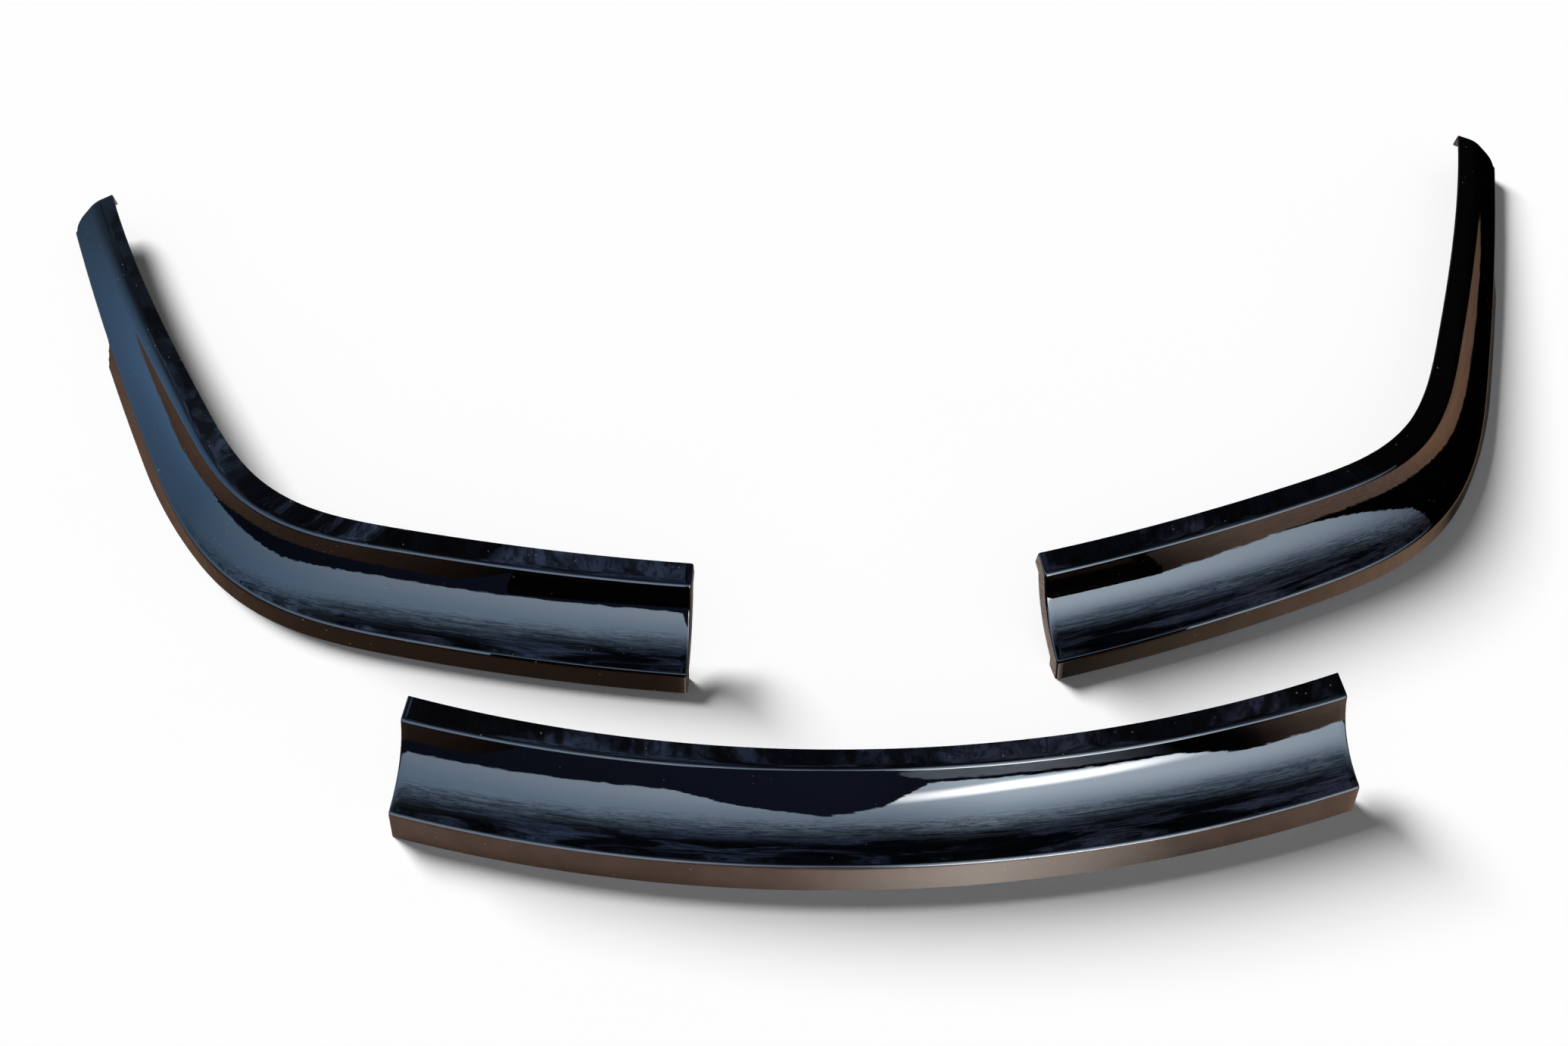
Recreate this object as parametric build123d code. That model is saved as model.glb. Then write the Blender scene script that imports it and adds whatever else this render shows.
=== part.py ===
"""Three-piece front lip for a car, laid out in its three sections. Millimetres, Z up."""
import math
import os
from dataclasses import dataclass

from build123d import *

# Moulded wall and the cross section that the three sections share
WALL = 3.0
COVE_OUT = 51.4
COVE_DROP = 46.8
COVE_SAG = 6.9
RIM_INSET = 67.9
LEDGE_RISE = 5.4
UPPER_BEAD_RADIUS = 6.0
LOWER_BEAD_RADIUS = 6.0
END_EDGE_RADIUS = 2.0
RETURN_WIDTH = 12.0
TRIM_ALLOWANCE = 8.0

# Centre section: its lower bead runs along one arc
CENTRE_RADIUS = 1280.0
CENTRE_LENGTH = 695.0
CENTRE_RIM_INSET_MIDDLE = 64.7
CENTRE_SKIRT = 23.4
CENTRE_FLARE = 8.6

# Corner sections: plan curve of the lower bead, from the inner end to the tip
FRONT_RADIUS = 1950.0
BEND_RADIUS = 237.5
LEG_RADIUS = 4680.0
FRONT_LENGTH = 232.0
BEND_ENTRY_LENGTH = 99.4
BEND_LENGTH = 71.0
BEND_EXIT_LENGTH = 131.0
LEG_LENGTH = 329.0
CORNER_SKIRT = 17.1
CORNER_FLARE = 6.4

# How the corner's section changes from the bend to the tip
HEIGHT_FADE_START = 130.0
COVE_FADE_START = 210.0
RIM_FADE_START = 315.0
TIP_COVE_OUT = 27.5
TIP_COVE_DROP = 18.0
TIP_COVE_SAG = 0.3
TIP_RIM_INSET = 45.3
TIP_LEDGE_RISE = 2.5
TIP_BEAD_RADIUS = 30.0
TIP_PLAN_RADIUS = 22.0
TIP_CORNER_RELIEF = 2.0
TIP_EDGE_RADIUS = 1.5
STATION_SPACING = 75.0

# The leg's skirt: it flares more than the front's, and is trimmed away short of the tip
LEG_FLARE = 10.5
FLARE_CHANGE_START = 420.0
FLARE_CHANGE_LENGTH = 120.0
SKIRT_END = 668.0
SKIRT_END_RUN = 20.0
SKIRT_TRIM = 0.3

# Where each section lies in the set: its middle or its inner end, and its turn in degrees
CENTRE_AT = (71.8, 228.0)
CENTRE_TURN = 2.5
RIGHT_AT = (209.7, 387.4)
RIGHT_TURN = 14.7
LEFT_AT = (-71.6, 371.5)
LEFT_TURN = -3.6

CORNER_LENGTH = FRONT_LENGTH + BEND_ENTRY_LENGTH + BEND_LENGTH + BEND_EXIT_LENGTH + LEG_LENGTH


@dataclass
class Section:
    """Sizes of one cross section: X outwards from the lower bead, Y up from the ground."""

    cove_out: float
    cove_drop: float
    cove_sag: float
    rim_inset: float
    ledge_rise: float
    skirt: float
    flare: float
    upper_bead: float

    def solid(self, overrun=0.0):
        """The filled section, which can run out past its rim and its foot."""
        lower = Vector(0, self.skirt)
        upper = lower + Vector(-self.cove_out, self.cove_drop)
        rim = Vector(-self.rim_inset, upper.Y + self.ledge_rise)
        foot = Vector(self.flare, 0)
        rim = rim + (rim - upper).normalized() * overrun
        foot = foot + (foot - lower).normalized() * overrun
        heel = Vector(rim.X, foot.Y)
        cove = SagittaArc(upper, lower, -self.cove_sag)
        face = make_face(Line(rim, upper) + cove + Polyline(lower, foot, heel, rim))
        face = fillet(face.vertices().sort_by_distance(upper)[0], self.upper_bead)
        return fillet(face.vertices().sort_by_distance(lower)[0], LOWER_BEAD_RADIUS)

    def hollow(self, inset):
        """The space behind the moulded face, an inset away from it and open behind and below."""
        return offset(self.solid(inset + TRIM_ALLOWANCE), -inset, kind=Kind.INTERSECTION)


def plane_at(x, y, heading):
    """Section plane at a point of the lower bead, for a heading in radians."""
    outward = (math.sin(heading), -math.cos(heading), 0)
    return Plane((x, y, 0), x_dir=outward, z_dir=(-math.cos(heading), -math.sin(heading), 0))


def is_trim_line(edge, plane):
    """True for the straight lines that close a section along its back and its bottom."""
    along = plane.to_local_coords(plane.origin + edge.tangent_at(0.5))
    return min(abs(along.X), abs(along.Y)) < 1e-6


def roll_end(solid, plane, radius):
    """Round the edges of the moulded face where it meets an end."""
    ends = [f for f in solid.faces() if abs(f.normal_at().dot(plane.z_dir)) > 0.999]
    end = min(ends, key=lambda f: f.distance_to(plane.origin))
    return fillet([e for e in end.edges() if not is_trim_line(e, plane)], radius)


def open_end(solid, plane, section):
    """Cut an end wall back to a return flange."""
    return solid - extrude(plane * section.hollow(RETURN_WIDTH), 2 * WALL, both=True)


def centre_plane(distance):
    """Section plane at a distance along the centre's arc from its middle."""
    angle = distance / CENTRE_RADIUS
    x = CENTRE_RADIUS * math.sin(angle)
    y = CENTRE_RADIUS - CENTRE_RADIUS * math.cos(angle)
    return plane_at(x, y, angle)


def centre_sweep(face, margin):
    """A section swept along the centre's arc, short of its ends by a margin."""
    start = centre_plane(margin - CENTRE_LENGTH / 2)
    arc = math.degrees((CENTRE_LENGTH - 2 * margin) / CENTRE_RADIUS)
    return revolve(start * face, Axis((0, CENTRE_RADIUS, 0), (0, 0, 1)), revolution_arc=arc)


def trim_rim(body):
    """Trim the ledge to an arc of its own, which lies deeper at the ends than in the middle."""
    rim_end = centre_plane(CENTRE_LENGTH / 2).from_local_coords(Vector(-RIM_INSET, 0, 0))
    bow = rim_end.Y - CENTRE_RIM_INSET_MIDDLE
    radius = (rim_end.X ** 2 + bow ** 2) / (2 * bow)
    height = 4 * (CENTRE_SKIRT + COVE_DROP + LEDGE_RISE)
    return body - Pos(0, CENTRE_RIM_INSET_MIDDLE + radius, 0) * Cylinder(radius, height)


def make_centre():
    section = Section(
        cove_out=COVE_OUT,
        cove_drop=COVE_DROP,
        cove_sag=COVE_SAG,
        rim_inset=RIM_INSET,
        ledge_rise=LEDGE_RISE,
        skirt=CENTRE_SKIRT,
        flare=CENTRE_FLARE,
        upper_bead=UPPER_BEAD_RADIUS,
    )
    ends = [centre_plane(-CENTRE_LENGTH / 2), centre_plane(CENTRE_LENGTH / 2)]
    body = centre_sweep(section.solid(), 0)
    for end in ends:
        body = roll_end(body, end, END_EDGE_RADIUS)
    body -= centre_sweep(section.hollow(WALL), WALL)
    for end in ends:
        body = open_end(body, end, section)
    return trim_rim(body)


def curvature(distance):
    """Curvature of the corner's plan curve, ramped into and out of the bend."""
    bend_in = FRONT_LENGTH + BEND_ENTRY_LENGTH
    bend_out = bend_in + BEND_LENGTH
    front, bend, leg = 1 / FRONT_RADIUS, 1 / BEND_RADIUS, 1 / LEG_RADIUS
    entered = min(1, max(0, (distance - FRONT_LENGTH) / BEND_ENTRY_LENGTH))
    left = min(1, max(0, (distance - bend_out) / BEND_EXIT_LENGTH))
    return front + (bend - front) * entered + (leg - bend) * left


def corner_plane(distance):
    """Section plane at a distance along the corner's plan curve, walked in short steps."""
    x, y, heading = 0.0, 0.0, 0.0
    count = max(1, round(distance))
    step = distance / count
    for i in range(count):
        turn = curvature((i + 0.5) * step) * step
        x += step * math.cos(heading + turn / 2)
        y += step * math.sin(heading + turn / 2)
        heading += turn
    return plane_at(x, y, heading)


def eased(done):
    """Share of a change that eases in and then runs on steadily."""
    return done ** 2 * (2 - done)


def settled(done):
    """Share of a change that eases in and eases out."""
    return done ** 2 * (3 - 2 * done)


def changed(distance, start, length, share, first, last):
    """A size that holds to a start and then changes over a length."""
    done = min(1.0, max(0.0, (distance - start) / length))
    return first + (last - first) * share(done)


def corner_section(distance):
    def to_tip(start, share, first, last):
        return changed(distance, start, CORNER_LENGTH - start, share, first, last)

    return Section(
        cove_out=to_tip(COVE_FADE_START, settled, COVE_OUT, TIP_COVE_OUT),
        cove_drop=to_tip(HEIGHT_FADE_START, eased, COVE_DROP, TIP_COVE_DROP),
        cove_sag=to_tip(COVE_FADE_START, settled, COVE_SAG, TIP_COVE_SAG),
        rim_inset=to_tip(RIM_FADE_START, settled, RIM_INSET, TIP_RIM_INSET),
        ledge_rise=to_tip(HEIGHT_FADE_START, eased, LEDGE_RISE, TIP_LEDGE_RISE),
        skirt=CORNER_SKIRT,
        flare=changed(distance, FLARE_CHANGE_START, FLARE_CHANGE_LENGTH, settled, CORNER_FLARE, LEG_FLARE),
        upper_bead=to_tip(RIM_FADE_START, settled, UPPER_BEAD_RADIUS, TIP_BEAD_RADIUS),
    )


def corner_loft(inset):
    """The corner's solid, or its hollow when there is an inset, lofted through its stations."""
    count = math.ceil(CORNER_LENGTH / STATION_SPACING)
    length = CORNER_LENGTH - 2 * inset
    faces = []
    for i in range(count + 1):
        distance = inset + length * i / count
        section = corner_section(distance)
        face = section.hollow(inset) if inset else section.solid()
        faces.append(corner_plane(distance) * face)
    return loft(faces)


def tip_waste(inset):
    """What the rounded outer corner of the tip leaves away, seen from above."""
    tip = corner_plane(CORNER_LENGTH)
    side = TIP_PLAN_RADIUS + TRIM_ALLOWANCE
    waste = Pos(side / 2, side / 2) * Rectangle(side, side) - Circle(TIP_PLAN_RADIUS - inset)
    out = TIP_CORNER_RELIEF - TIP_PLAN_RADIUS
    middle = tip.from_local_coords(Vector(out, 0, TIP_PLAN_RADIUS))
    bench = Plane(middle, x_dir=tip.x_dir, z_dir=(0, 0, 1))
    return extrude(bench * waste, 2 * (CORNER_SKIRT + COVE_DROP + LEDGE_RISE), both=True)


def skirt_waste(inset):
    """What leaves an upright wall under the lower bead, from the end of the flared skirt to the tip."""
    start = SKIRT_END - inset
    past_tip = CORNER_LENGTH + TRIM_ALLOWANCE
    count = math.ceil((past_tip - start) / STATION_SPACING)
    stations = [past_tip + (start + SKIRT_END_RUN - past_tip) * i / count for i in range(count + 1)]
    upright = [corner_plane(s).from_local_coords(Vector(SKIRT_TRIM - inset, 0, 0)) for s in stations]
    reach = Vector(LEG_FLARE + TRIM_ALLOWANCE, 0, 0)
    outside = [corner_plane(s).from_local_coords(reach) for s in (start, past_tip)]
    outline = Spline(*upright) + Polyline(upright[-1], *outside, upright[0])
    return extrude(make_face(outline), 2 * CORNER_SKIRT, both=True)


def corner_form(inset):
    return corner_loft(inset) - tip_waste(inset) - skirt_waste(inset)


def make_corner():
    """The right-hand corner section, from its inner end at the origin."""
    edges = {0: END_EDGE_RADIUS, CORNER_LENGTH: TIP_EDGE_RADIUS}
    body = corner_form(0)
    for distance, radius in edges.items():
        body = roll_end(body, corner_plane(distance), radius)
    body -= corner_form(WALL)
    for distance in edges:
        body = open_end(body, corner_plane(distance), corner_section(distance))
    return body


right = make_corner()
parts = {
    "centre_section": Pos(*CENTRE_AT) * Rot(0, 0, CENTRE_TURN) * make_centre(),
    "right_corner": Pos(*RIGHT_AT) * Rot(0, 0, RIGHT_TURN) * right,
    "left_corner": Pos(*LEFT_AT) * Rot(0, 0, LEFT_TURN) * mirror(right, about=Plane.YZ),
}

# The origin is on the ground under the middle of the set
box = Compound(list(parts.values())).bounding_box()
to_origin = Pos(-box.center().X, -box.center().Y, -box.min.Z)

os.makedirs("parts", exist_ok=True)
for name, part in parts.items():
    export_step(to_origin * part, f"parts/{name}.step")
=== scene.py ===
"""Studio scene for a three-piece front lip in gloss black plastic. Metres, Z up, in the frame of the part."""

import math

import bmesh
import bpy
import numpy as np
from mathutils import Matrix, Vector


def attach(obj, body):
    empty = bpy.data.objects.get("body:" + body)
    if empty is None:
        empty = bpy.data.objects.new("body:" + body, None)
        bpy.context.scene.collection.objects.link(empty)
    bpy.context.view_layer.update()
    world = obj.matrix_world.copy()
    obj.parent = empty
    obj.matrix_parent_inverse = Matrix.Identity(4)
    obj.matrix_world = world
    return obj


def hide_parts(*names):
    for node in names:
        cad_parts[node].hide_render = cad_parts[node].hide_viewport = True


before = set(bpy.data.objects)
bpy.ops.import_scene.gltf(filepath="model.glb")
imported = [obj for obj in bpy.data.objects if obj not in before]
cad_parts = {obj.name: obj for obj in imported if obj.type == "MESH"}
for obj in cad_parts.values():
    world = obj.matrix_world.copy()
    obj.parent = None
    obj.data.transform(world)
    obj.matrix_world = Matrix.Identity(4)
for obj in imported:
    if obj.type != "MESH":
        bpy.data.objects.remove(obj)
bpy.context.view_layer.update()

# Camera, fitted to the outlines of the photograph
PHOTO_WIDTH = 2071
FOCAL_PIXELS = 1500
SENSOR_WIDTH = 36.0
CAMERA_AT = (-0.0182, -0.60535, 0.7977)
CAMERA_PITCH = 56.80
CAMERA_ROLL = 0.86

# Light: a low soft sun from behind on the left, and a pale world, over a round white floor
SUN_ELEVATION = 31.0
SUN_FROM_BEHIND = 42.0
SUN_ANGLE = 20.0
SUN_LEVEL = 0.87
WORLD_LEVEL = 0.13
FLOOR_RADIUS = 30.0

# Surroundings that show only as reflections: a painted dome, with angles in degrees
DOME_RADIUS = 8.0
DOME_STRENGTH = 24.0
DOME_TILT = 11.0
LIFT = 20.0

# Named colours of the surroundings, in units of light
BLACK = (0.0, 0.0, 0.0)
DIM = (0.05, 0.045, 0.04)
BROWN = (0.38, 0.23, 0.16)
SKY_BEHIND = (0.12, 0.2, 0.3)
TREES = (0.024, 0.036, 0.072)

# Finish of the mouldings, with lengths in metres. The centre's normals lean back to mirror the same skyline
PLASTIC = (0.0022, 0.0021, 0.0024)
PLASTIC_IOR = 1.5
GLOSS_ROUGHNESS = 0.018
CENTRE_LEAN = 5.5
WAVE_SCALE = 55.0
WAVE_HEIGHT = 0.00005
WAVE_STRENGTH = 0.35
# Brown on the skirts: partly dust, partly a painted reflection of the brown ground in front of them
CENTRE_DUST_AND_REFLECTION = (0.21, 0.14, 0.108)
CENTRE_DUST_AND_REFLECTION_COVER = 1.0
CORNER_DUST_AND_REFLECTION = (0.020, 0.0125, 0.0085)
CORNER_DUST_AND_REFLECTION_COVER = 0.3
DUST_AND_REFLECTION_SCALE = 34.0
DUST_AND_REFLECTION_FADE_ABOVE = 0.0006
DUST_AND_REFLECTION_FADE_BELOW = 0.0012
DUST_ROUGHNESS = 0.16
SPECK = (0.42, 0.38, 0.33)
SPECKS_OFF_SKIRT = 0.35
FINE_SPECK_SPACING = 0.006
FINE_SPECK_RADIUS = 0.0007
FINE_SPECK_SHARE = 0.2
COARSE_SPECK_SPACING = 0.017
COARSE_SPECK_RADIUS = 0.0011
COARSE_SPECK_SHARE = 0.1
GRAIN_SCALE = 420.0
# Grainy pale brown colours for the inner end face of each corner
END_FACE_DARK = (0.05, 0.033, 0.026)
END_FACE_MIDDLE = (0.20, 0.15, 0.125)
END_FACE_PALE = (0.45, 0.40, 0.37)
END_FACE_ROUGHNESS = 0.7

# Sizes of the moulding in millimetres, as in the part's source, apart from TIP_PLAN_RADIUS and TIP_EDGE_RADIUS
MM = 0.001
WALL = 3.0
COVE_OUT = 51.4
COVE_DROP = 46.8
COVE_SAG = 6.9
RIM_INSET = 67.9
LEDGE_RISE = 5.4
UPPER_BEAD_RADIUS = 6.0
LOWER_BEAD_RADIUS = 6.0
END_EDGE_RADIUS = 2.0
RETURN_WIDTH = 12.0
CENTRE_RADIUS = 1280.0
CENTRE_LENGTH = 695.0
CENTRE_RIM_INSET_MIDDLE = 64.7
CENTRE_SKIRT = 23.4
CENTRE_FLARE = 8.6
FRONT_RADIUS = 1950.0
BEND_RADIUS = 237.5
LEG_RADIUS = 4680.0
FRONT_LENGTH = 232.0
BEND_ENTRY_LENGTH = 99.4
BEND_LENGTH = 71.0
BEND_EXIT_LENGTH = 131.0
LEG_LENGTH = 329.0
CORNER_SKIRT = 17.1
CORNER_FLARE = 6.4
HEIGHT_FADE_START = 130.0
COVE_FADE_START = 210.0
RIM_FADE_START = 315.0
TIP_COVE_OUT = 27.5
TIP_COVE_DROP = 18.0
TIP_COVE_SAG = 0.3
TIP_RIM_INSET = 45.3
TIP_LEDGE_RISE = 2.5
TIP_BEAD_RADIUS = 30.0
TIP_PLAN_RADIUS = 14.0
TIP_EDGE_RADIUS = 4.0
LEG_FLARE = 10.5
FLARE_CHANGE_START = 420.0
FLARE_CHANGE_LENGTH = 120.0
SKIRT_END = 668.0
SKIRT_END_RUN = 20.0
SKIRT_TRIM = 0.3
SKIRT_CLEARANCE = 8.0
CORNER_LENGTH = FRONT_LENGTH + BEND_ENTRY_LENGTH + BEND_LENGTH + BEND_EXIT_LENGTH + LEG_LENGTH

# Where the sections lie, with the shift to the part's origin
ORIGIN_SHIFT = (-18.1985, -605.351)
CENTRE_AT = (71.8, 228.0)
CENTRE_TURN = 2.5
RIGHT_AT = (209.7, 387.4)
RIGHT_TURN = 14.7
LEFT_AT = (-71.6, 371.5)
LEFT_TURN = -3.6

# Fineness of the mesh: faces along each span of the cross section, and along the sections
SPAN_FACES = (6, 12, 36, 12, 8)
CENTRE_STATIONS = 150
CORNER_STATIONS = 210
TIP_PULL = 80.0
ROLL_FACES = 5
SHARP_ANGLE = 28.0

SPAN = np.append(np.repeat(np.arange(5), SPAN_FACES), 4)
ALONG_SPAN = np.append(np.concatenate([np.arange(count) / count for count in SPAN_FACES]), 1.0)


def unit(vector):
    return vector / abs(vector)


def changed(distance, start, length, share, first, last):
    """A size that holds to a start and then changes over a length."""
    done = np.clip((distance - start) / length, 0.0, 1.0)
    return first + (last - first) * share(done)


def eased(done):
    return done ** 2 * (2 - done)


def settled(done):
    return done ** 2 * (3 - 2 * done)


class Centre:
    """The centre section: one cross section along an arc, with its rim trimmed to another arc."""

    length = CENTRE_LENGTH
    skirt = CENTRE_SKIRT
    edges = (END_EDGE_RADIUS, END_EDGE_RADIUS)
    stations = CENTRE_STATIONS

    def sizes(self, s):
        return COVE_OUT, COVE_DROP, COVE_SAG, RIM_INSET, LEDGE_RISE, CENTRE_FLARE, UPPER_BEAD_RADIUS

    def angle(self, s):
        return (s - CENTRE_LENGTH / 2) / CENTRE_RADIUS

    def rim(self, s):
        """How far the trimmed rim lies behind the lower bead."""
        end = (CENTRE_RADIUS - RIM_INSET) * np.exp(1j * self.angle(CENTRE_LENGTH))
        bow = CENTRE_RADIUS - end.real - CENTRE_RIM_INSET_MIDDLE
        radius = (end.imag ** 2 + bow ** 2) / (2 * bow)
        lead = CENTRE_RADIUS - CENTRE_RIM_INSET_MIDDLE - radius
        along = lead * np.cos(self.angle(s))
        return CENTRE_RADIUS - along - np.sqrt(along ** 2 - lead ** 2 + radius ** 2)

    def foot_limit(self, s, inset):
        return np.inf

    def far_end(self, x, depth):
        return CENTRE_LENGTH - depth

    def plan(self, s):
        angle = self.angle(s)
        return CENTRE_RADIUS * np.sin(angle), CENTRE_RADIUS - CENTRE_RADIUS * np.cos(angle), angle


class Corner:
    """The right-hand corner section: a cross section that changes along a bent curve, to a rounded tip."""

    length = CORNER_LENGTH
    skirt = CORNER_SKIRT
    edges = (END_EDGE_RADIUS, TIP_EDGE_RADIUS)
    stations = CORNER_STATIONS

    def __init__(self):
        """Walk the plan curve, with curvature ramped into and out of the bend."""
        step = 0.5
        self.walk = np.arange(0.0, CORNER_LENGTH + step, step)
        middle = self.walk[:-1] + step / 2
        bend_out = FRONT_LENGTH + BEND_ENTRY_LENGTH + BEND_LENGTH
        front, bend, leg = 1 / FRONT_RADIUS, 1 / BEND_RADIUS, 1 / LEG_RADIUS
        entered = np.clip((middle - FRONT_LENGTH) / BEND_ENTRY_LENGTH, 0.0, 1.0)
        left = np.clip((middle - bend_out) / BEND_EXIT_LENGTH, 0.0, 1.0)
        turns = (front + (bend - front) * entered + (leg - bend) * left) * step
        self.heading = np.append(0.0, np.cumsum(turns))
        steps = step * np.exp(1j * (self.heading[:-1] + turns / 2))
        self.line = np.append(0.0, np.cumsum(steps))

    def sizes(self, s):
        def to_tip(start, share, first, last):
            return changed(s, start, CORNER_LENGTH - start, share, first, last)

        return (
            to_tip(COVE_FADE_START, settled, COVE_OUT, TIP_COVE_OUT),
            to_tip(HEIGHT_FADE_START, eased, COVE_DROP, TIP_COVE_DROP),
            to_tip(COVE_FADE_START, settled, COVE_SAG, TIP_COVE_SAG),
            self.rim(s),
            to_tip(HEIGHT_FADE_START, eased, LEDGE_RISE, TIP_LEDGE_RISE),
            changed(s, FLARE_CHANGE_START, FLARE_CHANGE_LENGTH, settled, CORNER_FLARE, LEG_FLARE),
            to_tip(RIM_FADE_START, settled, UPPER_BEAD_RADIUS, TIP_BEAD_RADIUS),
        )

    def rim(self, s):
        return changed(s, RIM_FADE_START, CORNER_LENGTH - RIM_FADE_START, settled, RIM_INSET, TIP_RIM_INSET)

    def foot_limit(self, s, inset):
        """How far out the skirt may reach: it is trimmed upright short of the tip."""
        inset = np.minimum(inset, WALL)
        slope = (LEG_FLARE + SKIRT_CLEARANCE - SKIRT_TRIM + inset) / SKIRT_END_RUN
        return SKIRT_TRIM - inset + slope * np.maximum(SKIRT_END + SKIRT_END_RUN - inset - s, 0.0)

    def far_end(self, x, depth):
        """Where the tip's outline, rounded in plan at its outer corner, ends the section."""
        out = np.maximum(x - SKIRT_TRIM + TIP_PLAN_RADIUS, 0.0)
        room = np.maximum((TIP_PLAN_RADIUS - depth) ** 2 - out ** 2, 0.0)
        return CORNER_LENGTH - TIP_PLAN_RADIUS + np.sqrt(room)

    def plan(self, s):
        x = np.interp(s, self.walk, self.line.real)
        y = np.interp(s, self.walk, self.line.imag)
        return x, y, np.interp(s, self.walk, self.heading)


def profile(piece, s, inset):
    """Points x + iz of the cross sections at distances s, an inset behind the moulded face."""
    out, drop, sag, rim, rise, flare, bead = piece.sizes(s)
    lower = 1j * piece.skirt
    upper = lower - out + 1j * drop
    ledge = unit(rim - out - 1j * rise)
    skirt = unit(flare - 1j * piece.skirt)
    chord = lower - upper
    radius = (abs(chord) ** 2 / 4 + sag ** 2) / (2 * sag)
    middle = (upper + lower) / 2 + 1j * unit(chord) * (radius - sag)

    def bead_between(vertex, line, size, side):
        """Middle and radius of the bead that rounds a line into the cove, and where it meets the cove."""
        rounding = np.maximum(size - inset, 0.01)
        reach = radius + inset + rounding
        start = vertex - (inset + rounding) * 1j * line - middle
        ahead = (start * np.conj(line)).real
        at = start + line * (side * np.sqrt(ahead ** 2 - abs(start) ** 2 + reach ** 2) - ahead)
        return middle + at, rounding, middle + at * (radius + inset) / reach

    def straight(first, last):
        return first + (last - first) * ALONG_SPAN

    def arc(centre, first, last):
        sweep = np.angle((last - centre) / (first - centre))
        return centre + (first - centre) * np.exp(1j * sweep * ALONG_SPAN)

    upper_bead, upper_size, cove_start = bead_between(upper, ledge, bead, -1)
    lower_bead, lower_size, cove_end = bead_between(lower, skirt, LOWER_BEAD_RADIUS, 1)
    ledge_end = upper_bead + upper_size * 1j * ledge
    skirt_start = lower_bead + lower_size * 1j * skirt
    on_ledge = upper - inset * 1j * ledge
    on_skirt = lower - inset * 1j * skirt
    rim_point = on_ledge - ledge * (piece.rim(s) + on_ledge.real) / ledge.real
    foot = on_skirt - skirt * on_skirt.imag / skirt.imag
    points = np.choose(SPAN, [
        straight(rim_point, ledge_end),
        arc(upper_bead, ledge_end, cove_start),
        arc(middle, cove_start, cove_end),
        arc(lower_bead, cove_end, skirt_start),
        straight(skirt_start, foot),
    ])
    return np.minimum(points.real, piece.foot_limit(s, inset)) + 1j * points.imag


def ring_list(piece):
    """Distance, inset and end depth of each ring: along the face, round the tip, back inside, and round."""
    near, far = piece.edges
    end = piece.length
    along = np.linspace(0.0, 1.0, piece.stations + 1)
    roll = np.radians(90.0) * np.arange(1, ROLL_FACES + 1) / ROLL_FACES
    rings = [(near + (end - far - near) * share, 0.0, far) for share in along]
    rings += [(end - far * (1 - np.sin(a)), far * (1 - np.cos(a)), far * (1 - np.sin(a))) for a in roll]
    rings += [(end, RETURN_WIDTH, 0.0), (end - WALL, RETURN_WIDTH, WALL)]
    rings += [(end - WALL - (end - 2 * WALL) * share, WALL, WALL) for share in along]
    rings += [(WALL, RETURN_WIDTH, 0.0), (0.0, RETURN_WIDTH, 0.0)]
    rings += [(near * (1 - np.sin(a)), near * (1 - np.cos(a)), 0.0) for a in roll[::-1]]
    return np.array(rings)


def surface_points(piece, at, turn, mirrored):
    """Points of all the rings, in metres, where the section lies in the set."""
    nominal, inset, depth = (column[:, None] for column in ring_list(piece).T)
    pull = np.clip((nominal - piece.length + TIP_PULL) / (TIP_PULL - depth), 0.0, 1.0) ** 2
    s = nominal + 0.0 * ALONG_SPAN
    for _ in range(5):
        points = profile(piece, s, inset)
        s = nominal - (piece.length - depth - piece.far_end(points.real, depth)) * pull
    points = profile(piece, s, inset)
    x, y, heading = piece.plan(s)
    flat = x + 1j * y - 1j * points.real * np.exp(1j * heading)
    if mirrored:
        flat = -np.conj(flat)
    flat = flat * np.exp(1j * math.radians(turn)) + complex(*at) + complex(*ORIGIN_SHIFT)
    return MM * np.stack([flat.real, flat.imag, points.imag], axis=-1)


def mould(name, node, piece, at, turn, mirrored, material):
    """One moulded section as a fine closed mesh, which stands for its node."""
    points = surface_points(piece, at, turn, mirrored)
    rings, columns = points.shape[:2]
    number = np.arange(rings * columns).reshape(rings, columns)
    after = np.roll(number, -1, axis=0)
    corners = [number[:, :-1], number[:, 1:], after[:, 1:], after[:, :-1]]
    faces = np.stack(corners, axis=-1).reshape(-1, 4).tolist()

    count = piece.stations
    back = count + ROLL_FACES + 3
    for edge in (number[:, 0], number[:, -1]):
        outside = edge[:count + 1]
        inside = edge[back:back + count + 1][::-1]
        faces += np.stack([outside[:-1], outside[1:], inside[1:], inside[:-1]], axis=-1).tolist()
        faces.append(edge[count:back + 1].tolist())
        faces.append(edge[back + count:].tolist() + [int(edge[0])])

    mesh = bpy.data.meshes.new(name)
    mesh.from_pydata(points.reshape(-1, 3).tolist(), [], faces)
    shape = bmesh.new()
    shape.from_mesh(mesh)
    bmesh.ops.recalc_face_normals(shape, faces=shape.faces)
    shape.to_mesh(mesh)
    shape.free()
    mesh.shade_smooth()
    mesh.set_sharp_from_angle(angle=math.radians(SHARP_ANGLE))
    mesh.materials.append(material)

    made = bpy.data.objects.new(name, mesh)
    bpy.context.scene.collection.objects.link(made)
    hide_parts(node)
    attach(made, "root")


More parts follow.
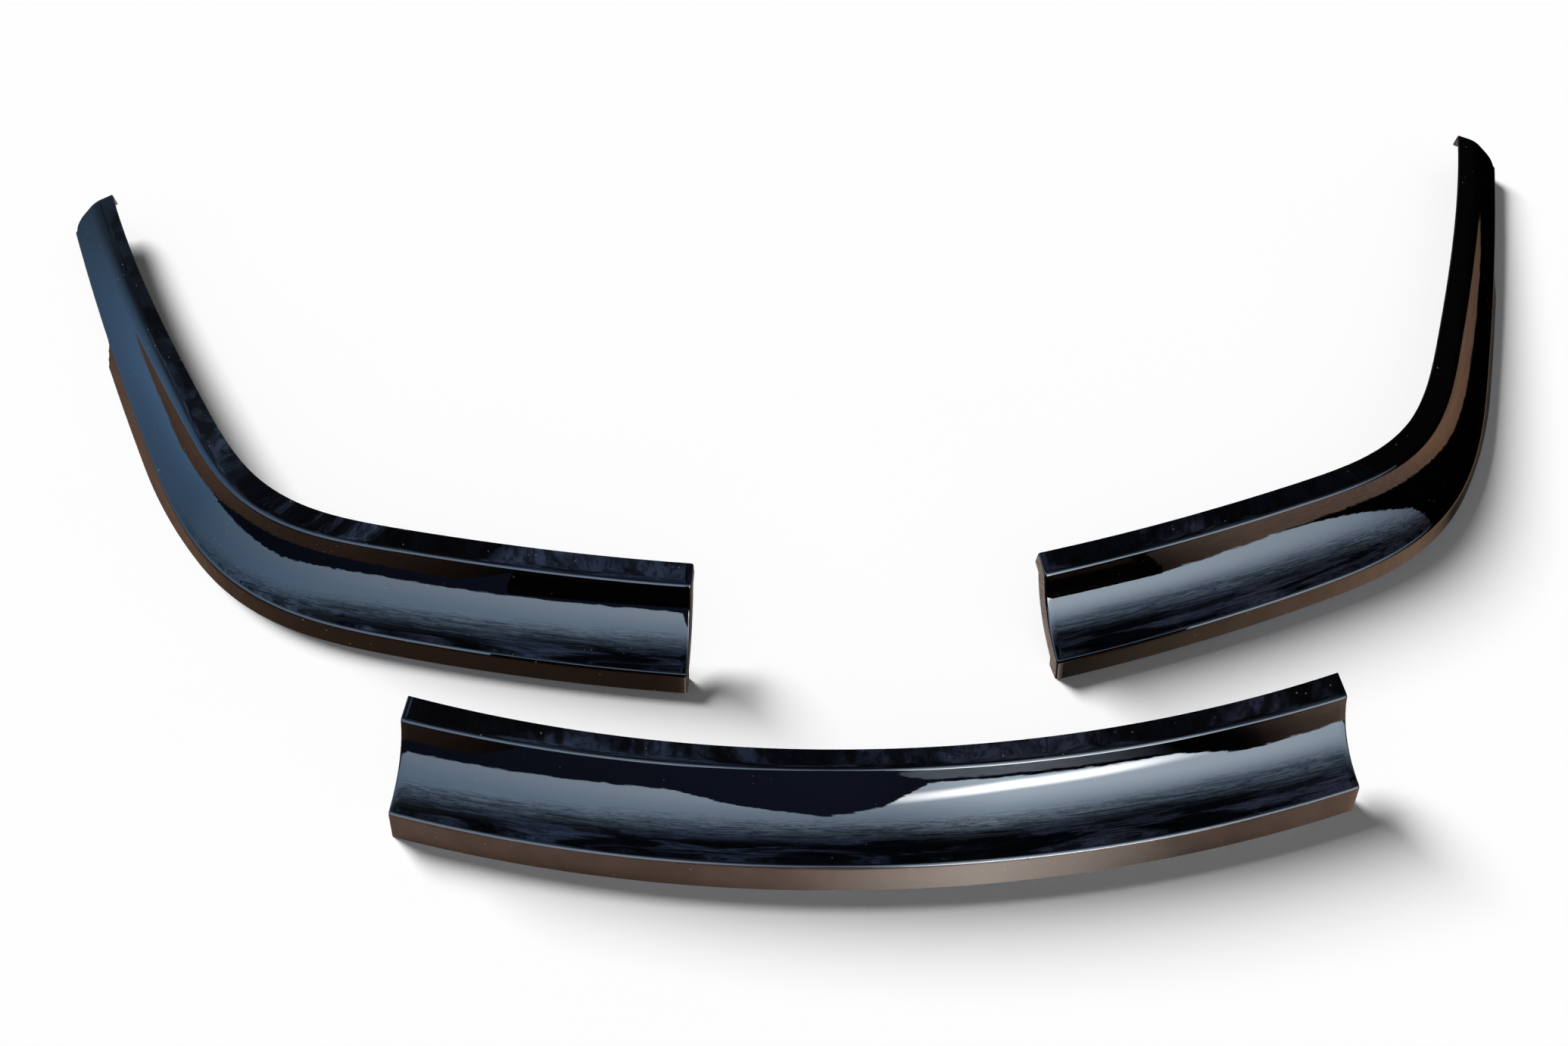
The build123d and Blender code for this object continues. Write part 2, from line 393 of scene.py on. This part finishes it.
class Nodes:
    """Short calls that add nodes to one tree and join them up."""

    def __init__(self, owner):
        owner.use_nodes = True
        self.tree = owner.node_tree
        self.tree.nodes.clear()

    def add(self, kind, **settings):
        made = self.tree.nodes.new("ShaderNode" + kind)
        for name, value in settings.items():
            setattr(made, name, value)
        return made

    def feed(self, socket, value):
        if isinstance(value, bpy.types.NodeSocket):
            self.tree.links.new(value, socket)
        else:
            socket.default_value = value

    def math(self, operation, a, b=0.0):
        made = self.add("Math", operation=operation)
        self.feed(made.inputs[0], a)
        self.feed(made.inputs[1], b)
        return made.outputs[0]

    def step(self, value, low, high):
        """0 below low, 1 above high, and smooth between them. With low above high it falls."""
        made = self.add("MapRange", interpolation_type="SMOOTHSTEP")
        for socket, given in zip(made.inputs, (value, low, high, 0.0, 1.0)):
            self.feed(socket, given)
        return made.outputs[0]

    def rescale(self, value, low, high, first, last):
        made = self.add("MapRange")
        for socket, given in zip(made.inputs, (value, low, high, first, last)):
            self.feed(socket, given)
        return made.outputs[0]

    def mix(self, share, a, b):
        made = self.add("Mix", data_type="RGBA")
        self.feed(made.inputs["Factor"], share)
        self.feed(made.inputs[6], a)
        self.feed(made.inputs[7], b)
        return made.outputs[2]

    def ramp(self, value, stops):
        """A colour for each place along a value; stops are (place, colour) in order."""
        made = self.add("ValToRGB")
        elements = made.color_ramp.elements
        while len(elements) < len(stops):
            elements.new(1.0)
        for element, (place, colour) in zip(elements, stops):
            element.position = place
            element.color = (*colour, 1.0)
        self.feed(made.inputs[0], value)
        return made.outputs[0]

    def curve(self, value, low, high, points):
        """A number for each place along a value; points are (value, result) in order, results over 0."""
        top = max(result for place, result in points)
        stops = [((place - low) / (high - low), (result / top,) * 3) for place, result in points]
        colour = self.ramp(self.rescale(value, low, high, 0.0, 1.0), stops)
        return self.math("MULTIPLY", colour, top)

    def noise(self, vector, scale, detail=2.0, roughness=0.5, distortion=0.0):
        made = self.add("TexNoise")
        self.feed(made.inputs["Vector"], vector)
        made.inputs["Scale"].default_value = scale
        made.inputs["Detail"].default_value = detail
        made.inputs["Roughness"].default_value = roughness
        made.inputs["Distortion"].default_value = distortion
        return made.outputs[0]

    def place(self):
        """The point on the surface, and its X, Y and Z."""
        point = self.add("TexCoord").outputs["Object"]
        split = self.add("SeparateXYZ")
        self.feed(split.inputs[0], point)
        return point, *split.outputs

    def surface(self, shader):
        self.feed(self.add("OutputMaterial").inputs["Surface"], shader)


def opaque(colour):
    return (*colour, 1.0)


def specks(nodes, point, spacing, radius, share):
    """Small round specks on a share of the cells of a pattern."""
    cells = nodes.add("TexVoronoi")
    nodes.feed(cells.inputs["Vector"], point)
    cells.inputs["Scale"].default_value = 1.0 / spacing
    spot = nodes.step(cells.outputs["Distance"], radius / spacing, 0.6 * radius / spacing)
    pick = nodes.add("SeparateColor")
    nodes.feed(pick.inputs[0], cells.outputs["Color"])
    return nodes.math("MULTIPLY", spot, nodes.step(pick.outputs[0], 1.0 - share, 1.001 - share))


def end_face_colour(nodes, point, towards):
    """Where a face looks in a direction, and a grainy pale brown colour for that face."""
    facing = nodes.add("VectorMath", operation="DOT_PRODUCT")
    nodes.feed(facing.inputs[0], nodes.add("NewGeometry").outputs["True Normal"])
    facing.inputs[1].default_value = towards
    grain = nodes.noise(point, GRAIN_SCALE, detail=5.0, roughness=0.7)
    colour = nodes.ramp(grain, [(0.3, END_FACE_DARK), (0.6, END_FACE_MIDDLE), (0.75, END_FACE_PALE)])
    return nodes.step(facing.outputs["Value"], 0.96, 0.99), colour


def wavy_normal(nodes, point, axis):
    """The faint waviness of the gloss, on normals that lean back about an axis if one is given."""
    bump = nodes.add("Bump")
    bump.inputs["Strength"].default_value = WAVE_STRENGTH
    bump.inputs["Distance"].default_value = WAVE_HEIGHT
    nodes.feed(bump.inputs["Height"], nodes.noise(point, WAVE_SCALE, detail=3.0))
    if axis is not None:
        leant = nodes.add("VectorRotate", rotation_type="AXIS_ANGLE")
        nodes.feed(leant.inputs["Vector"], nodes.add("NewGeometry").outputs["Normal"])
        leant.inputs["Axis"].default_value = axis
        leant.inputs["Angle"].default_value = math.radians(-CENTRE_LEAN)
        nodes.feed(bump.inputs["Normal"], leant.outputs[0])
    return bump.outputs[0]


def gloss_black(name, skirt, dust_and_reflection, cover, coloured_end=None, lean_axis=None):
    """Black moulded plastic: gloss with a faint waviness, a brown on the skirt that is partly dust and partly
    painted reflection of the ground, specks, and one end face in a grainy pale brown.
    """
    material = bpy.data.materials.new(name)
    nodes = Nodes(material)
    point, _, _, z = nodes.place()
    bead = MM * skirt
    on_skirt = nodes.step(z, bead + DUST_AND_REFLECTION_FADE_ABOVE, bead - DUST_AND_REFLECTION_FADE_BELOW)

    dust_and_reflection_film = nodes.noise(point, DUST_AND_REFLECTION_SCALE, detail=4.0)
    dust_and_reflection_film = nodes.math("MULTIPLY", on_skirt, nodes.rescale(dust_and_reflection_film, 0.3, 0.7, 0.7 * cover, cover))
    fine = specks(nodes, point, FINE_SPECK_SPACING, FINE_SPECK_RADIUS, FINE_SPECK_SHARE)
    coarse = specks(nodes, point, COARSE_SPECK_SPACING, COARSE_SPECK_RADIUS, COARSE_SPECK_SHARE)
    specked = nodes.math("MAXIMUM", fine, coarse)
    specked = nodes.math("MULTIPLY", specked, nodes.rescale(on_skirt, 0.0, 1.0, SPECKS_OFF_SKIRT, 1.0))

    # Mix in the skirt's brown, which is dust and also a painted reflection of the ground
    colour = nodes.mix(dust_and_reflection_film, opaque(PLASTIC), opaque(dust_and_reflection))
    colour = nodes.mix(specked, colour, opaque(SPECK))
    roughness = nodes.math("ADD", nodes.math("MULTIPLY", dust_and_reflection_film, DUST_ROUGHNESS), GLOSS_ROUGHNESS)
    # Grainy pale brown on the end face that looks along the given direction
    if coloured_end is not None:
        on_end_face, end_colour = end_face_colour(nodes, point, coloured_end)
        colour = nodes.mix(on_end_face, colour, end_colour)
        roughness = nodes.math("MAXIMUM", roughness, nodes.math("MULTIPLY", on_end_face, END_FACE_ROUGHNESS))

    shader = nodes.add("BsdfPrincipled")
    nodes.feed(shader.inputs["Base Color"], colour)
    nodes.feed(shader.inputs["Roughness"], roughness)
    nodes.feed(shader.inputs["Normal"], wavy_normal(nodes, point, lean_axis))
    shader.inputs["IOR"].default_value = PLASTIC_IOR
    nodes.surface(shader.outputs[0])
    return material


def rightward(turn):
    """The level direction that a section's front runs in, towards the right."""
    return Vector((math.cos(math.radians(turn)), math.sin(math.radians(turn)), 0.0))


def make_sections():
    centre = gloss_black(
        "centre_gloss", CENTRE_SKIRT, CENTRE_DUST_AND_REFLECTION, CENTRE_DUST_AND_REFLECTION_COVER, lean_axis=rightward(CENTRE_TURN))
    right = gloss_black(
        "right_gloss", CORNER_SKIRT, CORNER_DUST_AND_REFLECTION, CORNER_DUST_AND_REFLECTION_COVER, coloured_end=-rightward(RIGHT_TURN))
    left = gloss_black(
        "left_gloss", CORNER_SKIRT, CORNER_DUST_AND_REFLECTION, CORNER_DUST_AND_REFLECTION_COVER, coloured_end=rightward(LEFT_TURN))
    mould("centre_moulding", "centre_section", Centre(), CENTRE_AT, CENTRE_TURN, False, centre)
    mould("right_moulding", "right_corner", Corner(), RIGHT_AT, RIGHT_TURN, False, right)
    mould("left_moulding", "left_corner", Corner(), LEFT_AT, LEFT_TURN, True, left)


def stage_disc(name, radius, height, material):
    """A round stage piece that lies flat."""
    bpy.ops.mesh.primitive_circle_add(vertices=96, radius=radius, fill_type="NGON", location=(0, 0, height))
    disc = bpy.context.object
    disc.name = name
    disc.data.materials.append(material)
    return disc


def only_reflected(piece):
    """The piece shows in reflections and nowhere else."""
    piece.visible_camera = False
    piece.visible_diffuse = False
    piece.visible_transmission = False
    piece.visible_volume_scatter = False
    piece.visible_shadow = False


def dome_share(colour):
    """A colour in units of light, as a share of the dome's strength."""
    return tuple(level / DOME_STRENGTH for level in colour)


class Outdoors:
    """Paint of the dome by azimuth and elevation in degrees. Azimuth 0 is the camera's side, + is right."""

    def __init__(self, nodes):
        self.nodes = nodes
        self.point, x, y, z = nodes.place()
        self.azimuth = nodes.math("DEGREES", nodes.math("ARCTAN2", x, nodes.math("MULTIPLY", y, -1.0)))
        self.elevation = nodes.math("DEGREES", nodes.math("ARCSINE", nodes.math("DIVIDE", z, DOME_RADIUS)))
        self.leaves = nodes.noise(self.point, 5.0, detail=4.0, roughness=0.6)
        self.leafy = nodes.math("ADD", self.elevation, nodes.rescale(self.leaves, 0.3, 0.7, -0.9, 0.9))

    def streaks(self, wide, tall, **settings):
        """A noise whose marks are so many degrees wide and tall."""
        spread = self.nodes.add("CombineXYZ")
        self.nodes.feed(spread.inputs[0], self.nodes.math("DIVIDE", self.azimuth, wide))
        self.nodes.feed(spread.inputs[1], self.nodes.math("DIVIDE", self.elevation, tall))
        return self.nodes.noise(spread.outputs[0], 1.0, **settings)

    def colours(self, *stops):
        """A colour for each azimuth; stops are (azimuth, colour in units of light) in order."""
        side = self.nodes.rescale(self.azimuth, -180.0, 180.0, 0.0, 1.0)
        scaled = [((azimuth + 180) / 360, dome_share(colour)) for azimuth, colour in stops]
        return self.nodes.ramp(side, scaled)

    def over(self, level, *points):
        """How far a level lies over a line through points (azimuth, elevation). The line is drawn raised."""
        raised = [(azimuth, elevation + LIFT) for azimuth, elevation in points]
        line = self.nodes.curve(self.azimuth, -180.0, 180.0, raised)
        return self.nodes.math("ADD", self.nodes.math("SUBTRACT", level, line), LIFT)

    def sky(self):
        """Blue sky, paler low down, brightest a little right of the camera."""
        upper = self.colours(
            (-116, SKY_BEHIND), (-104, (0.4, 0.8, 1.35)), (-92, (0.5, 0.9, 1.5)), (-60, (1.4, 2.2, 3.3)),
            (-20, (2.7, 3.7, 5.0)), (10, (2.9, 3.8, 5.0)), (20, (4.3, 5.6, 7.0)), (40, (2.3, 3.2, 4.3)),
            (80, (1.5, 1.9, 2.6)), (95, BLACK))
        lower = self.colours(
            (-116, SKY_BEHIND), (-104, (0.35, 0.7, 1.25)), (-92, (0.4, 0.8, 1.4)), (-50, (2.0, 2.7, 3.7)),
            (10, (5.5, 6.6, 7.8)), (20, (8.0, 9.5, 11.0)), (45, (5.5, 6.6, 7.8)), (70, (2.1, 2.8, 3.5)),
            (92, BLACK))
        return self.nodes.mix(self.nodes.step(self.elevation, 26.0, 8.0), upper, lower)

    def with_trees(self, sky):
        """Trees overhead: dark masses with blue patches, and twigs and clumps in the sky under them."""
        nodes = self.nodes
        masses = self.streaks(11.0, 2.8, detail=8.0, roughness=0.66, distortion=1.4)
        twigs = self.streaks(6.0, 1.7, detail=6.0, roughness=0.62, distortion=1.6)
        patches = nodes.noise(self.point, 0.7, detail=6.0, roughness=0.6, distortion=0.8)
        blue = self.colours(
            (-180, (0.3, 0.4, 0.6)), (-60, (0.7, 1.0, 1.8)), (0, (0.3, 0.45, 0.9)), (70, (0.5, 0.6, 1.0)),
            (88, BLACK))
        height = self.over(self.elevation, (-100, 36), (-60, 44), (-20, 39), (20, 38), (40, 32), (80, 30))
        ragged = nodes.math("ADD", height, nodes.rescale(masses, 0.3, 0.7, -8.0, 8.0))
        patched = nodes.mix(nodes.step(patches, 0.44, 0.58), opaque(dome_share(TREES)), blue)
        colour = nodes.mix(nodes.step(ragged, -11.0, 7.0), sky, patched)
        line = nodes.step(nodes.math("ABSOLUTE", nodes.math("SUBTRACT", twigs, 0.5)), 0.045, 0.012)
        line = nodes.math("MULTIPLY", line, nodes.step(height, -17.0, -6.0))
        clumps = nodes.math("MULTIPLY", nodes.step(masses, 0.52, 0.42), nodes.step(height, -14.0, -3.0))
        dark = nodes.math("MAXIMUM", nodes.math("MULTIPLY", line, 0.75), nodes.math("MULTIPLY", clumps, 0.85))
        return nodes.mix(dark, colour, opaque(BLACK))

    def with_glow(self, colour):
        """A white glow in a strip that comes down to the right."""
        nodes = self.nodes
        glow = self.colours(
            (5, (4.0, 5.0, 6.0)), (20, (39.0, 39.5, 40.0)), (40, (17.0, 18.0, 19.0)), (50, (6.0, 7.0, 8.0)))
        off_strip = nodes.math("ABSOLUTE", self.over(self.elevation, (5, 13), (20, 3.5), (40, -3)))
        shine = nodes.math("MULTIPLY", nodes.step(off_strip, 5.5, 0.5), nodes.step(self.azimuth, 5.0, 10.0))
        shine = nodes.math("MULTIPLY", shine, nodes.step(self.azimuth, 44.0, 28.0))
        return nodes.mix(shine, colour, glow)

    def with_skyline(self, colour):
        """A dark skyline: a rise on the left, a hump in the middle, and a wall of shade on the right."""
        shade = self.colours((-70, (0.01, 0.03, 0.06)), (5, (0.1, 0.12, 0.27)), (30, BLACK))
        above = self.over(
            self.leafy, (-180, -6), (-95, -6), (-80, 1), (-60, 10), (-12, 6), (-6, 16), (3, 24), (8, 18),
            (13, -4), (50, -4), (80, 17), (95, 45), (150, 45), (180, -6))
        return self.nodes.mix(self.nodes.step(above, 0.5, -0.5), colour, shade)

    def with_ground(self, colour):
        """Brown ground, dark in the middle but for a pale yard, and brighter near by under the glow."""
        nodes = self.nodes
        far = self.colours(
            (-130, DIM), (-110, BROWN), (-42, BROWN), (-26, BLACK), (7, BLACK), (12, (1.6, 1.9, 2.3)),
            (22, (2.0, 2.3, 2.8)), (36, BLACK), (43, BLACK), (54, (1.4, 0.95, 0.75)),
            (100, (0.8, 0.45, 0.28)), (135, DIM))
        near = self.colours(
            (-130, DIM), (-110, BROWN), (-15, (0.25, 0.15, 0.1)), (0, (1.0, 0.7, 0.55)),
            (20, (5.4, 4.8, 4.3)), (40, (0.15, 0.12, 0.1)), (70, (1.15, 0.75, 0.52)), (85, (1.0, 0.65, 0.45)),
            (110, DIM))
        ground = nodes.mix(nodes.step(self.elevation, -16.0, -21.0), far, near)
        ground = nodes.mix(nodes.rescale(self.leaves, 0.35, 0.7, 0.0, 0.25), ground, opaque(BLACK))
        above = self.over(
            self.leafy, (-100, -3.5), (-80, -6), (-30, -1), (-26, -19), (8, -19), (12, -7), (34, -7), (42, 5),
            (56, -0.5), (90, -4))
        return nodes.mix(nodes.step(above, 0.6, -0.6), colour, ground)

    def paint(self):
        return self.with_ground(self.with_skyline(self.with_glow(self.with_trees(self.sky()))))


def make_surroundings():
    material = bpy.data.materials.new("outdoors")
    nodes = Nodes(material)
    glow = nodes.add("Emission")
    nodes.feed(glow.inputs["Color"], Outdoors(nodes).paint())
    glow.inputs["Strength"].default_value = DOME_STRENGTH
    nodes.surface(glow.outputs[0])

    bpy.ops.mesh.primitive_uv_sphere_add(segments=96, ring_count=48, radius=DOME_RADIUS)
    dome = bpy.context.object
    dome.name = "surroundings"
    dome.rotation_euler[0] = math.radians(-DOME_TILT)
    dome.data.materials.append(material)
    only_reflected(dome)


def make_floor():
    material = bpy.data.materials.new("floor_white")
    nodes = Nodes(material)
    point = nodes.place()[0]
    whites = [(0.0, (0.985, 0.985, 0.985)), (1.0, (0.995, 0.995, 0.995))]
    shader = nodes.add("BsdfDiffuse")
    nodes.feed(shader.inputs["Color"], nodes.ramp(nodes.noise(point, 3.0), whites))
    nodes.surface(shader.outputs[0])
    floor = stage_disc("floor", FLOOR_RADIUS, 0.0, material)
    floor.visible_glossy = False


def make_light():
    sun = bpy.data.lights.new("key_sun", "SUN")
    sun.angle = math.radians(SUN_ANGLE)
    sun.energy = SUN_LEVEL * math.pi / math.sin(math.radians(SUN_ELEVATION))
    key = bpy.data.objects.new("key_sun", sun)
    bpy.context.scene.collection.objects.link(key)
    turn = Matrix.Rotation(math.radians(SUN_FROM_BEHIND), 4, "Z")
    key.matrix_world = turn @ Matrix.Rotation(math.radians(SUN_ELEVATION - 90.0), 4, "X")
    key.visible_glossy = False

    world = bpy.data.worlds.new("pale_world")
    bpy.context.scene.world = world
    nodes = Nodes(world)
    path = nodes.add("LightPath")
    seen = nodes.math("MAXIMUM", path.outputs["Is Camera Ray"], path.outputs["Is Glossy Ray"])
    seen = nodes.math("MAXIMUM", seen, path.outputs["Is Transmission Ray"])
    background = nodes.add("Background")
    background.inputs["Color"].default_value = (1.0, 1.0, 1.0, 1.0)
    nodes.feed(background.inputs["Strength"], nodes.rescale(seen, 0.0, 1.0, WORLD_LEVEL, 1.0))
    nodes.feed(nodes.add("OutputWorld").inputs["Surface"], background.outputs[0])


def make_camera():
    lens = bpy.data.cameras.new("camera")
    lens.sensor_width = SENSOR_WIDTH
    lens.lens = FOCAL_PIXELS / PHOTO_WIDTH * SENSOR_WIDTH
    lens.clip_end = 100.0
    camera = bpy.data.objects.new("camera", lens)
    bpy.context.scene.collection.objects.link(camera)
    tilt = Matrix.Rotation(math.radians(90.0 - CAMERA_PITCH), 4, "X")
    roll = Matrix.Rotation(math.radians(CAMERA_ROLL), 4, "Z")
    camera.matrix_world = Matrix.Translation(Vector(CAMERA_AT)) @ tilt @ roll
    bpy.context.scene.camera = camera


make_sections()
make_floor()
make_surroundings()
make_light()
make_camera()
bpy.context.scene.view_settings.view_transform = "Standard"
